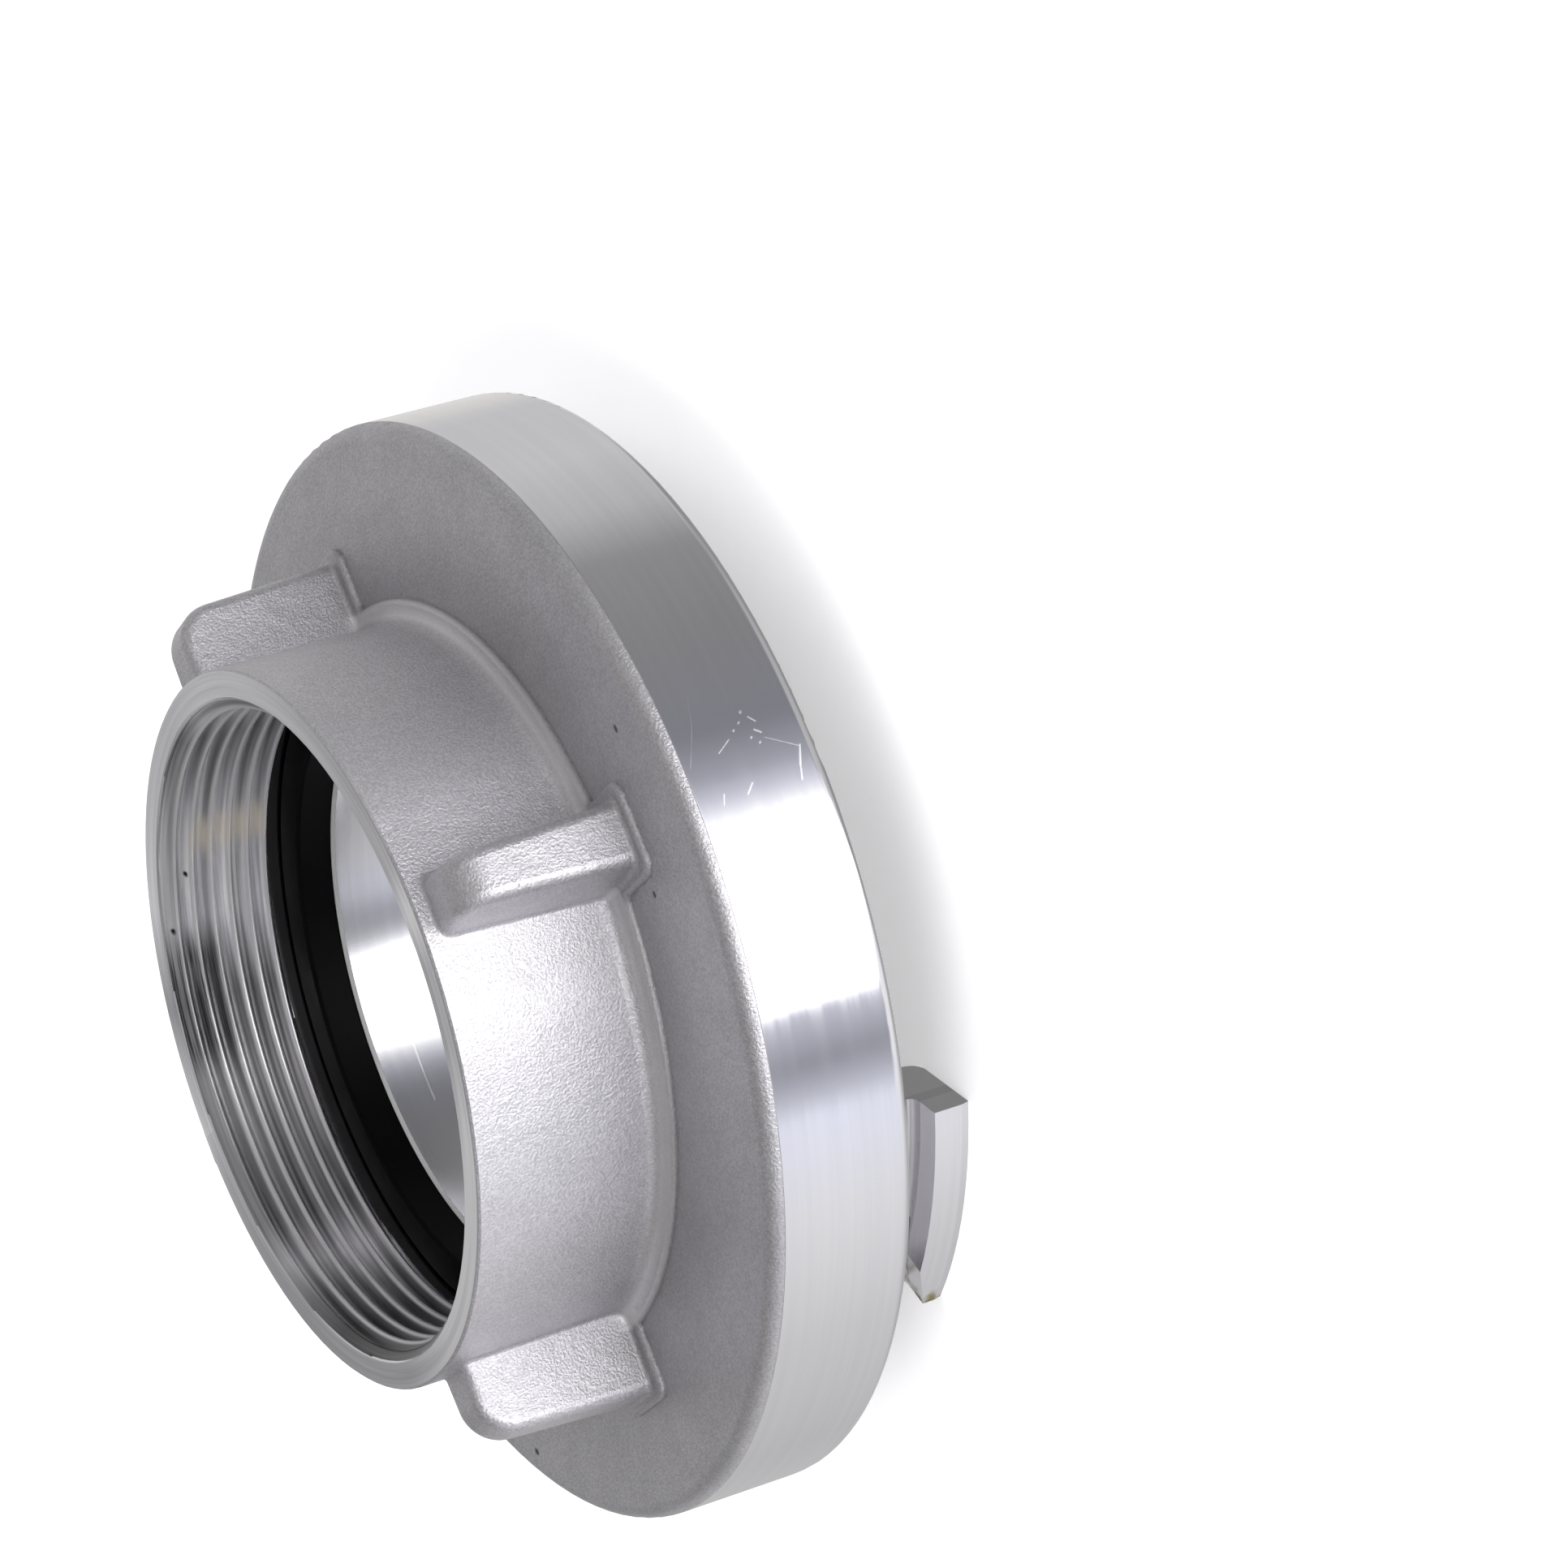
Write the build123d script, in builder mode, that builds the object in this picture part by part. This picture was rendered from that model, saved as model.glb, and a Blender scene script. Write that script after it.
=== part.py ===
from build123d import *
import os
from math import cos, degrees, hypot, radians, sin

# All lengths are in millimetres and all angles in degrees.
# The coupling stands on its claws: the bore runs along Z and the threaded mouth is on top.

# Waterway, and the pocket around its end that holds the face seal
bore_radius = 33.0
bore_edge = 0.4
nozzle_wall = 3.0
nozzle_setback = 2.0
seal_groove_width = 6.0
seal_groove_depth = 9.0
sleeve_wall = 1.7

# Groove behind the lip, in which the claws of the other coupling turn
lip_gap = 9.8
lip_overhang = 3.5
lip_thickness = 7.0
lip_edge = 0.6
groove_depth = 12.8
groove_fillet = 1.5
window_corner_fillet = 2.5

# Ring of the coupling outside the groove
ring_wall = 6.0
ring_web = 4.7
ring_face_edge = 1.6
ring_back_edge = 1.8

# Threaded socket, with the relief and the seat of the thread gasket below the thread
thread_seat_width = 4.59
thread_length = 13.8
thread_entry_bevel = 0.2
relief_depth = 0.71
relief_length = 6.2
socket_wall = 3.31
socket_length = 22.5
socket_root_fillet = 1.8
mouth_bevel = 0.3

# Raised cast pad around the socket and the lugs
pad_height = 0.75
pad_margin = 0.75
pad_edge_fillet = 0.6
pad_corner_fillet = 1.0
lug_pad_margin = 0.65

# Four spanner lugs along the socket, as heights above its wall and widths at its wall
lug_count = 4
lug_setback = 1.9
lug_mouth_height = 8.4
lug_ring_height = 9.3
lug_mouth_foot_width = 6.8
lug_ring_foot_width = 8.4
lug_side_draft = 1.2
lug_corner_fillet = 4.5
lug_edge_fillet = 1.3
lug_foot_fillet = 0.6
lug_root_depth = 1.0

# Two hooked claws, half a turn apart
claw_count = 2
claw_height = 11.5
claw_start = -72.8
claw_end = -41.6
claw_inner_gap = 0.8
claw_neck_thickness = 6.5
claw_neck_fillet = 1.0
claw_head_overhang = 4.3
claw_head_height = 4.3
claw_tip_height = 1.0
claw_tip_taper = 0.25
claw_inner_fillet = 2.0
claw_ramp_length = 8.0
claw_ramp_drop = 2.3
claw_root_fillet = 1.2
claw_root_depth = 2.0
claw_end_cut = 1.4

# Windows that let the claws of the other coupling in
long_window = 37.0
short_window = 11.7

# Rubber pieces
seal_clearance = 0.05
seal_bore_overlap = 0.4
seal_outer_rise = 0.3
seal_inner_rise = 1.8
seal_edge_fillet = 0.6
gasket_clearance = 0.2
gasket_bore_clearance = 0.6
gasket_thickness = 4.2
gasket_edge_fillet = 0.4

# Radii, from the waterway outwards
nozzle_radius = bore_radius + nozzle_wall
sleeve_bore_radius = nozzle_radius + seal_groove_width
sleeve_radius = sleeve_bore_radius + sleeve_wall
lip_radius = sleeve_radius + lip_gap
groove_radius = lip_radius + lip_overhang
ring_radius = groove_radius + ring_wall
claw_inner_radius = sleeve_radius + claw_inner_gap
claw_neck_radius = claw_inner_radius + claw_neck_thickness
claw_head_radius = claw_neck_radius + claw_head_overhang
thread_radius = bore_radius + thread_seat_width
relief_radius = thread_radius + relief_depth
socket_radius = thread_radius + socket_wall

# Heights, from the claw tips upwards
face_z = claw_height
nozzle_z = face_z + nozzle_setback
lip_top_z = face_z + lip_thickness
seal_floor_z = face_z + seal_groove_depth
groove_floor_z = face_z + groove_depth
back_z = groove_floor_z + ring_web
pad_z = back_z + pad_height
mouth_z = back_z + socket_length
lug_top_z = mouth_z - lug_setback
thread_end_z = mouth_z - thread_length
seat_z = thread_end_z - relief_length
claw_embedded_z = face_z + claw_root_depth

# Angles around the axis
half_turn = 360 / claw_count
groove_angle = half_turn - (claw_end - claw_start)
claw_cut_angle = degrees(claw_end_cut / claw_head_radius)
claw_ramp_angle = claw_start + degrees(claw_ramp_length / claw_head_radius)

# How near an edge has to lie to the place it is looked for
nearness = 0.01


def half_plane(angle):
    """The plane through the axis at this angle, with the radius as X and the height as Y."""
    turn = radians(angle)
    return Plane(origin=(0, 0, 0), x_dir=(cos(turn), sin(turn), 0), z_dir=(sin(turn), -cos(turn), 0))


def polar(radius, angle):
    """A point in plan at this radius and angle."""
    return (radius * cos(radians(angle)), radius * sin(radians(angle)))


def polar_radius(point):
    """How far a point lies from the axis."""
    return hypot(point.X, point.Y)


def ring_sector(inner, outer, start, end):
    """The closed outline of a piece of a flat ring, as the edges of the line being drawn."""
    middle = (start + end) / 2
    ThreePointArc(polar(inner, start), polar(inner, middle), polar(inner, end))
    Line(polar(inner, end), polar(outer, end))
    ThreePointArc(polar(outer, end), polar(outer, middle), polar(outer, start))
    Line(polar(outer, start), polar(inner, start))


def round_edges(shape, radius, height):
    """The round edges of a shape at this radius and height."""
    return shape.edges().filter_by(GeomType.CIRCLE).filter_by(
        lambda edge: abs(edge.radius - radius) < nearness and abs(edge.arc_center.Z - height) < nearness
    )


def lug_corners(height, foot_width):
    """The corners of one cross section of a lug: wide at the socket and narrower at the top."""
    root_radius = socket_radius - lug_root_depth
    top_radius = socket_radius + height
    foot = foot_width / 2
    top = foot - lug_side_draft / 2
    return [(root_radius, -foot), (top_radius, -top), (top_radius, top), (root_radius, foot)]


# One spanner lug, tapered towards the mouth and rounded on every outer edge
with BuildPart() as lug:
    with BuildSketch(Plane.XY.offset(back_z)):
        with BuildLine():
            Polyline(lug_corners(lug_ring_height, lug_ring_foot_width), close=True)
        make_face()
    with BuildSketch(Plane.XY.offset(lug_top_z)):
        with BuildLine():
            Polyline(lug_corners(lug_mouth_height, lug_mouth_foot_width), close=True)
        make_face()
    loft()
    mouth_end = lug.faces().sort_by(Axis.Z)[-1]
    fillet(mouth_end.edges().sort_by(Axis.X)[-1], lug_corner_fillet)
    side_faces = lug.faces().sort_by(Axis.Y)
    outer_edges = (side_faces[0].edges() + side_faces[-1].edges()).filter_by(
        lambda edge: edge.center().X > socket_radius and edge.center().Z > back_z + nearness
    )
    fillet(outer_edges, lug_edge_fillet)

# The space over the ramp that leads a claw in: a wedge along its hook, outside its neck
with BuildPart() as ramp_space:
    ramp_reach = 2 * claw_ramp_length
    ramp_reach_drop = claw_ramp_drop * ramp_reach / claw_ramp_length
    outward = Vector(polar(1, claw_ramp_angle))
    along_claw = Vector(polar(1, claw_ramp_angle - 90))
    ramp_origin = outward * claw_head_radius + Vector(0, 0, claw_head_height)
    with BuildSketch(Plane(origin=ramp_origin, x_dir=along_claw, z_dir=-outward)):
        with BuildLine():
            Polyline((0, 0), (ramp_reach, 0), (ramp_reach, -ramp_reach_drop), close=True)
        make_face()
    extrude(amount=2 * claw_head_overhang, both=True)
    Cylinder(claw_neck_radius, 2 * face_z, mode=Mode.SUBTRACT)

# One hooked claw: a ring section turned through the angle of the claw
with BuildPart() as claw:
    with BuildSketch(half_plane(claw_start)) as claw_profile:
        with BuildLine():
            Polyline(
                (claw_inner_radius, claw_embedded_z),
                (claw_inner_radius, 0),
                (claw_head_radius - claw_tip_taper, 0),
                (claw_head_radius, claw_tip_height),
                (claw_head_radius, claw_head_height),
                (claw_neck_radius, claw_head_height),
                (claw_neck_radius, face_z),
                (claw_neck_radius + claw_root_depth, face_z),
                (claw_neck_radius + claw_root_depth, claw_embedded_z),
                close=True,
            )
        make_face()
        inner_tip = claw_profile.vertices().group_by(Axis.Z)[0].sort_by_distance((0, 0, 0))[0]
        fillet(inner_tip, claw_inner_fillet)
    revolve(axis=Axis.Z, revolution_arc=claw_end - claw_start)

    # The hook thins out over the ramp and keeps a fillet along its neck
    add(ramp_space.part, mode=Mode.SUBTRACT)
    hook_roots = claw.edges().filter_by(
        lambda edge: all(
            abs(polar_radius(corner) - claw_neck_radius) < nearness and corner.Z < face_z - nearness
            for corner in edge.vertices()
        )
    )
    fillet(hook_roots, claw_neck_fillet)

    # The outer corner of its ramped end is cut away at a slant
    with BuildSketch(Plane.XY):
        with BuildLine():
            Polyline(
                polar(claw_neck_radius, claw_start),
                polar(claw_head_radius + claw_end_cut, claw_start),
                polar(claw_head_radius + claw_end_cut, claw_start + claw_cut_angle),
                polar(claw_head_radius, claw_start + claw_cut_angle),
                close=True,
            )
        make_face()
    extrude(amount=face_z, mode=Mode.SUBTRACT)

# The body: ring and socket turned as one blank, then the lugs, the inside and the coupling face
with BuildPart() as coupling_body:
    with BuildSketch(half_plane(45)) as blank:
        with BuildLine():
            Polyline(
                (0, face_z),
                (ring_radius, face_z),
                (ring_radius, back_z),
                (socket_radius, back_z),
                (socket_radius, mouth_z),
                (0, mouth_z),
                close=True,
            )
        make_face()
    revolve(axis=Axis.Z)

    # Raised pad around the socket and the feet of the lugs, with a rounded edge
    with BuildSketch(Plane.XY.offset(back_z)) as pad:
        Circle(socket_radius + socket_root_fillet + pad_margin)
        with PolarLocations(0, lug_count):
            RectangleRounded(
                2 * (socket_radius + lug_ring_height + lug_pad_margin + lug_foot_fillet),
                lug_ring_foot_width + 2 * (lug_pad_margin + lug_foot_fillet),
                lug_pad_margin + lug_edge_fillet,
            )
        pad_corners = pad.vertices().sort_by_distance((0, 0, back_z))[:2 * lug_count]
        fillet(pad_corners, pad_corner_fillet)
    extrude(amount=pad_height)
    pad_top = coupling_body.faces().filter_by(Plane.XY).filter_by(
        lambda face: abs(face.center().Z - pad_z) < nearness
    )
    fillet(pad_top[0].outer_wire().edges(), pad_edge_fillet)

    # Cast fillet at the root of the socket, bevel of the mouth and rounded edges of the rim
    fillet(round_edges(coupling_body, socket_radius, pad_z), socket_root_fillet)
    chamfer(round_edges(coupling_body, socket_radius, mouth_z), mouth_bevel)
    fillet(round_edges(coupling_body, ring_radius, back_z), ring_back_edge)
    fillet(round_edges(coupling_body, ring_radius, face_z), ring_face_edge)

    # Lugs around the socket, each with a cast fillet around its foot
    with PolarLocations(0, lug_count):
        add(lug.part)
    fillet(coupling_body.edges(Select.NEW), lug_foot_fillet)

    # Thread wall, relief, gasket seat, waterway and the pocket of the face seal
    with BuildSketch(half_plane(45)):
        with BuildLine():
            Polyline(
                (0, mouth_z),
                (thread_radius + thread_entry_bevel, mouth_z),
                (thread_radius, mouth_z - thread_entry_bevel),
                (thread_radius, thread_end_z),
                (relief_radius, thread_end_z),
                (relief_radius, seat_z),
                (bore_radius + bore_edge, seat_z),
                (bore_radius, seat_z - bore_edge),
                (bore_radius, nozzle_z),
                (nozzle_radius, nozzle_z),
                (nozzle_radius, seal_floor_z),
                (sleeve_bore_radius, seal_floor_z),
                (sleeve_bore_radius, face_z),
                (0, face_z),
                close=True,
            )
        make_face()
    revolve(axis=Axis.Z, mode=Mode.SUBTRACT)

    # Groove behind the lip, interrupted where a claw stands on solid metal
    for claw_number in range(claw_count):
        groove_start = claw_end + claw_number * half_turn
        with BuildSketch(half_plane(groove_start)):
            with BuildLine():
                FilletPolyline(
                    (sleeve_radius, lip_top_z),
                    (sleeve_radius, groove_floor_z),
                    (groove_radius, groove_floor_z),
                    (groove_radius, lip_top_z),
                    radius=groove_fillet,
                )
                Polyline(
                    (groove_radius, lip_top_z),
                    (lip_radius, lip_top_z),
                    (lip_radius, face_z + lip_edge),
                    (lip_radius + lip_edge, face_z),
                    (sleeve_radius, face_z),
                    (sleeve_radius, lip_top_z),
                )
            make_face()
        revolve(axis=Axis.Z, revolution_arc=groove_angle, mode=Mode.SUBTRACT)

    # A long window in front of each claw and a short one behind it
    for claw_number in range(claw_count):
        window_start = claw_end + claw_number * half_turn
        window_end = claw_start + (claw_number + 1) * half_turn
        for start, end in (
            (window_start, window_start + long_window),
            (window_end - short_window, window_end),
        ):
            with BuildSketch(Plane.XY.offset(face_z)) as window:
                with BuildLine():
                    ring_sector(sleeve_radius, groove_radius, start, end)
                make_face()
                corners = window.vertices().sort_by_distance((0, 0, face_z))[2:]
                fillet(corners, window_corner_fillet)
            extrude(amount=lip_thickness, mode=Mode.SUBTRACT)

    # Claws, blended into the face at their roots
    with PolarLocations(0, claw_count):
        add(claw.part)
    claw_roots = round_edges(coupling_body, claw_neck_radius, face_z)
    fillet(claw_roots, claw_root_fillet)

coupling_body.part.label = "coupling_body"

# Face seal: a flat head over the end of the waterway, with a root in the groove of the sleeve
with BuildPart() as face_seal:
    seal_outer_radius = sleeve_bore_radius - seal_clearance
    seal_root_radius = nozzle_radius + seal_clearance
    seal_inner_radius = bore_radius - seal_bore_overlap
    with BuildSketch(half_plane(45)) as seal_profile:
        with BuildLine():
            FilletPolyline(
                (seal_root_radius, nozzle_z),
                (seal_inner_radius, nozzle_z),
                (seal_inner_radius, face_z - seal_inner_rise),
                (seal_outer_radius, face_z - seal_outer_rise),
                (seal_outer_radius, seal_floor_z),
                radius=(0, seal_edge_fillet, seal_edge_fillet),
            )
            Polyline(
                (seal_outer_radius, seal_floor_z),
                (seal_root_radius, seal_floor_z),
                (seal_root_radius, nozzle_z),
            )
        make_face()
    revolve(axis=Axis.Z)

face_seal.part.label = "face_seal"

# Thread gasket: a flat ring that lies on its seat at the bottom of the threaded socket
with BuildPart() as thread_gasket:
    with BuildSketch(Plane.XY.offset(seat_z)):
        Circle(relief_radius - gasket_clearance)
        Circle(bore_radius + gasket_bore_clearance, mode=Mode.SUBTRACT)
    extrude(amount=gasket_thickness)
    fillet(thread_gasket.edges().group_by(Axis.Z)[-1], gasket_edge_fillet)

thread_gasket.part.label = "thread_gasket"

os.makedirs("parts", exist_ok=True)
for piece in (coupling_body.part, face_seal.part, thread_gasket.part):
    export_step(piece, f"parts/{piece.label}.step")
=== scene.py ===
# %% [markdown]
# # A quarter turn fire hose coupling in cast and turned aluminium
#
# The coupling is one aluminium casting with two rubber rings in it. Its solids come ready made at
# their real size. This lesson gives them their finish and adds what the solids leave out, which is the
# turns of the pipe thread. All lengths are in metres, so a millimetre gets a name of its own.

# %% Load the solids and note their sizes
import math

import bmesh
import bpy
from mathutils import Matrix, Vector


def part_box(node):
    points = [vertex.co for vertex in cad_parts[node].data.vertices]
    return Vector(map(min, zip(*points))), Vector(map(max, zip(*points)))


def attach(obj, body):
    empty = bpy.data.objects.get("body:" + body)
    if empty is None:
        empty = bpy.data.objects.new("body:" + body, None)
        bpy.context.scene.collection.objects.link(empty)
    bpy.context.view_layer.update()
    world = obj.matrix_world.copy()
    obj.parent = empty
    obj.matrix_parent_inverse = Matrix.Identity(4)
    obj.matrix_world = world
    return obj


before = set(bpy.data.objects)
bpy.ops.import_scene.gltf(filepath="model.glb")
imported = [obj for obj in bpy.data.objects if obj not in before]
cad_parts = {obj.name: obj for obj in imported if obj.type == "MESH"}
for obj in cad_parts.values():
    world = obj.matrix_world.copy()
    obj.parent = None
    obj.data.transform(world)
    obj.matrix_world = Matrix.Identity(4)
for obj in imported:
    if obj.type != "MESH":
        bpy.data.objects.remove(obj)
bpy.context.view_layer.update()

mm = 0.001
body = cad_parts["coupling_body"]
body_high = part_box("coupling_body")[1]
mouth_z = body_high[2]
ring_radius = body_high[0]
print("height", mouth_z / mm, "ring radius", ring_radius / mm)

# %% [markdown]
# ## Heights and radii that the finish follows
#
# One casting carries several finishes: blasted skin on the socket and the lugs, bright turned metal on
# the rim, the faces and the bore. The borders between them lie at fixed heights and radii, so they are
# named once here, measured from the mouth downwards and from the axis outwards.

# %% Name the borders of the finishes
socket_radius = 40.9 * mm
socket_length = 22.5 * mm
ring_thickness = 17.5 * mm
waterway_radius = 33.0 * mm
back_z = mouth_z - socket_length
face_z = back_z - ring_thickness
print("back of the ring", back_z / mm, "coupling face", face_z / mm)

# %% [markdown]
# ## The camera
#
# The photograph looks into the threaded mouth from the front and a little to one side, through a long
# lens, with the camera rolled. A long lens keeps the ellipses of the ring and the mouth nearly alike.
# The camera could be turned by three angles, but a roll is hard to read from them. Here it is placed by
# its position and by the directions that its view and its top edge point in.

# %% Place the camera
lens_mm = 139.57
sensor_mm = 36
camera_place = Vector((610.2, -131.3, 292.0)) * mm
camera_forward = Vector((-0.8746, 0.2052, -0.4392)).normalized()
camera_up = Vector((0.3379, 0.9079, -0.2482))

camera_data = bpy.data.cameras.new("camera")
camera_data.lens = lens_mm
camera_data.sensor_width = sensor_mm
camera_data.sensor_fit = "HORIZONTAL"
camera_data.clip_start = 10 * mm
camera = bpy.data.objects.new("camera", camera_data)
bpy.context.scene.collection.objects.link(camera)
back = -camera_forward
right = camera_up.cross(back).normalized()
up = back.cross(right)
camera.matrix_world = Matrix.Translation(camera_place) @ Matrix((right, up, back)).transposed().to_4x4()
bpy.context.scene.camera = camera
print("camera at", [round(length / mm, 1) for length in camera_place], "lens", lens_mm)

# %% [markdown]
# ## The turns of the pipe thread
#
# A pipe thread is cut with a single point that moves along the bore while the work turns, so every
# turn is the same profile moved by one pitch. Cutting it out of a tube with a Boolean would work too,
# but that leaves long thin faces. Here the profile of one pitch is drawn point by point, and the Screw
# modifier turns it around the bore, so that its edges run along the helix and catch the light.
#
# The solid has a plain wall at the thread's largest radius. The roots of the turns stand a hair in front
# of that wall, so the two surfaces never share a place.

# %% Measures of the thread
thread_radius = 37.59 * mm
thread_pitch = 2.309 * mm
thread_depth = 1.48 * mm
root_lift = 0.06 * mm
crest_share = 0.1
root_share = 0.14
thread_end_z = mouth_z - 13.8 * mm
entry_depth = 0.2 * mm
print("turns that show", round((mouth_z - thread_end_z) / thread_pitch, 2))


# %% Draw an open profile by extruding one point after another
def clear_selection():
    """Nothing selected, so that the next operator acts on its own piece alone."""
    bpy.ops.object.select_all(action="DESELECT")


def draw_profile(name, points):
    """A chain of edges through these points, in the plane of the axis: radius as X, height as Z."""
    clear_selection()
    bpy.ops.mesh.primitive_plane_add(size=mm)
    piece = bpy.context.object
    piece.name = name
    bpy.ops.object.mode_set(mode="EDIT")
    bpy.ops.mesh.merge(type="CENTER")
    here = Vector((0, 0, 0))
    for number, (radius, height) in enumerate(points):
        there = Vector((radius, 0, height))
        if number == 0:
            bpy.ops.transform.translate(value=there - here)
        else:
            bpy.ops.mesh.extrude_vertices_move(TRANSFORM_OT_translate={"value": there - here})
        here = there
    bpy.ops.object.mode_set(mode="OBJECT")
    return piece


# %% One pitch of the thread, with flanks that round off at crest and root
profile_steps = 16
turns_below = 1.5


def thread_height(share):
    """How far the metal stands in from the largest radius, for a share of the pitch from 0 to 1."""
    flank_share = 0.5 - root_share / 2 - crest_share / 2
    climb = (min(share, 1 - share) - root_share / 2) / flank_share
    climb = min(max(climb, 0), 1)
    eased = climb * climb * (3 - 2 * climb)
    return root_lift + (thread_depth - root_lift) * (climb + eased) / 2


start_z = thread_end_z - turns_below * thread_pitch
profile = []
for step in range(profile_steps + 1):
    share = step / profile_steps
    profile.append((thread_radius - thread_height(share), start_z + share * thread_pitch))
thread = draw_profile("thread_turns", profile)
print("points on the profile", len(thread.data.vertices))

# %% Turn the profile around the bore
turn_steps = 240
thread_turns = 9
merge_gap = 0.001 * mm


def apply_modifier(piece, kind, **settings):
    """One modifier with these settings, applied at once."""
    modifier = piece.modifiers.new(kind.title(), kind)
    for key, value in settings.items():
        setattr(modifier, key, value)
    clear_selection()
    piece.select_set(True)
    bpy.context.view_layer.objects.active = piece
    bpy.ops.object.modifier_apply(modifier=modifier.name)


apply_modifier(
    thread, "SCREW", axis="Z", angle=2 * math.pi, screw_offset=thread_pitch, iterations=thread_turns,
    steps=turn_steps, render_steps=turn_steps, use_merge_vertices=True, merge_threshold=merge_gap,
    use_smooth_shade=True,
)
print("faces all the way", len(thread.data.polygons))

# %% Cut the turns off level at the mouth and at the bottom
bpy.ops.object.mode_set(mode="EDIT")
bpy.ops.mesh.select_all(action="SELECT")
bpy.ops.mesh.remove_doubles(threshold=2 * merge_gap)
for height, clear_outer in ((mouth_z - entry_depth, True), (thread_end_z, False)):
    bpy.ops.mesh.select_all(action="SELECT")
    bpy.ops.mesh.bisect(
        plane_co=(0, 0, height), plane_no=(0, 0, 1), clear_outer=clear_outer, clear_inner=not clear_outer
    )
bpy.ops.object.mode_set(mode="OBJECT")
print("faces that stay", len(thread.data.polygons))

# %% Cut the lead-in at the mouth
for vertex in thread.data.vertices:
    radius = vertex.co.xy.length
    lead_in = thread_radius - root_lift - (mouth_z - entry_depth - vertex.co.z)
    if radius < lead_in:
        vertex.co.xy *= lead_in / radius
print("radius at the mouth", max(vertex.co.xy.length for vertex in thread.data.vertices) / mm)

# %% [markdown]
# ### Closing the strip
#
# The strip has an open edge at each end and no back. A shape that is open shows its inside from some
# sides and can't be made in metal, so both open edges are drawn outwards into the wall of the socket,
# where nobody sees them, and bridged there. That turns the strip into a closed ring.

# %% Close the ring behind the turns
hidden_depth = 0.35 * mm

bpy.ops.object.mode_set(mode="EDIT")
bpy.ops.mesh.select_all(action="DESELECT")
bpy.ops.mesh.select_mode(type="EDGE")
bpy.ops.mesh.select_non_manifold()
bpy.ops.mesh.extrude_region_move(TRANSFORM_OT_translate={"value": (0, 0, 0)})
shell = bmesh.from_edit_mesh(thread.data)
for vertex in shell.verts:
    if vertex.select:
        vertex.co.xy = vertex.co.xy.normalized() * (thread_radius + hidden_depth)
bmesh.update_edit_mesh(thread.data)
bpy.ops.mesh.bridge_edge_loops()
bpy.ops.mesh.select_all(action="SELECT")
bpy.ops.mesh.normals_make_consistent(inside=False)
bpy.ops.object.mode_set(mode="OBJECT")
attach(thread, "root")

shell = bmesh.new()
shell.from_mesh(thread.data)
print("open edges left", sum(1 for edge in shell.edges if not edge.is_manifold), "faces", len(shell.faces),
      "volume mm3", shell.calc_volume() / mm ** 3)
shell.free()

# %% [markdown]
# ## Small helpers for node trees
#
# A material or a world is a tree of nodes. Set up by hand, each sum takes one node and two links, and a
# finish with twenty masks becomes hard to read. These helpers put one node each and give back its
# output, so that a mask or a tone is written as one short line.

# %% Put a node, feed its sockets, do a sum
def new_material(name):
    """A material with its node tree and its shader."""
    material = bpy.data.materials.new(name)
    material.use_nodes = True
    return material, material.node_tree, material.node_tree.nodes["Principled BSDF"]


def put_node(tree, kind, **settings):
    """One node of this kind, with these settings."""
    node = tree.nodes.new("ShaderNode" + kind)
    for key, value in settings.items():
        setattr(node, key, value)
    return node


def feed(tree, socket, value):
    """Join an output to this input, or set the input itself where the value is a number."""
    if isinstance(value, bpy.types.NodeSocket):
        tree.links.new(value, socket)
    else:
        socket.default_value = value


def sum_of(tree, operation, *values):
    """The result of one Math node."""
    node = put_node(tree, "Math", operation=operation)
    for socket, value in zip(node.inputs, values):
        feed(tree, socket, value)
    return node.outputs[0]


def vector_sum(tree, operation, first, second=None, output="Vector"):
    """The result of one Vector Math node."""
    node = put_node(tree, "VectorMath", operation=operation)
    feed(tree, node.inputs[0], first)
    if second is not None:
        feed(tree, node.inputs["Scale" if operation == "SCALE" else 1], second)
    return node.outputs[output]


print("helpers that put, feed and add up nodes are ready")


# %% Blend colours and numbers
def blend_colour(tree, share, first, second):
    """A colour between two others."""
    node = put_node(tree, "Mix", data_type="RGBA")
    for number, value in ((0, share), (6, first), (7, second)):
        feed(tree, node.inputs[number], value)
    return node.outputs[2]


def blend_value(tree, share, first, second):
    """A number between two others."""
    node = put_node(tree, "Mix", data_type="FLOAT")
    for number, value in ((0, share), (2, first), (3, second)):
        feed(tree, node.inputs[number], value)
    return node.outputs[0]


def colours_around(tree, share, stops):
    """A colour ramp around the compass, with a colour at each of these angles in degrees."""
    node = put_node(tree, "ValToRGB")
    while len(node.color_ramp.elements) < len(stops):
        node.color_ramp.elements.new(0.5)
    for element, (angle, colour) in zip(node.color_ramp.elements, stops):
        element.position = (angle + 180) / 360
        element.color = (*colour, 1)
    feed(tree, node.inputs[0], share)
    return node.outputs[0]


print("helpers that blend colours and numbers are ready")


# %% Make masks that begin and end softly
def soft_step(tree, value, low, high, at_low=0.0, at_high=1.0):
    """A smooth change from one level to another while the value goes from low to high."""
    node = put_node(tree, "MapRange", interpolation_type="SMOOTHSTEP")
    for socket, setting in zip(node.inputs, (value, low, high, at_low, at_high)):
        feed(tree, socket, setting)
    return node.outputs[0]


def between(tree, value, low, high, soft):
    """A mask that is 1 from low to high and fades over a short stretch."""
    rise = soft_step(tree, value, low - soft / 2, low + soft / 2)
    fall = soft_step(tree, value, high - soft / 2, high + soft / 2, 1.0, 0.0)
    return sum_of(tree, "MULTIPLY", rise, fall)


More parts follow.
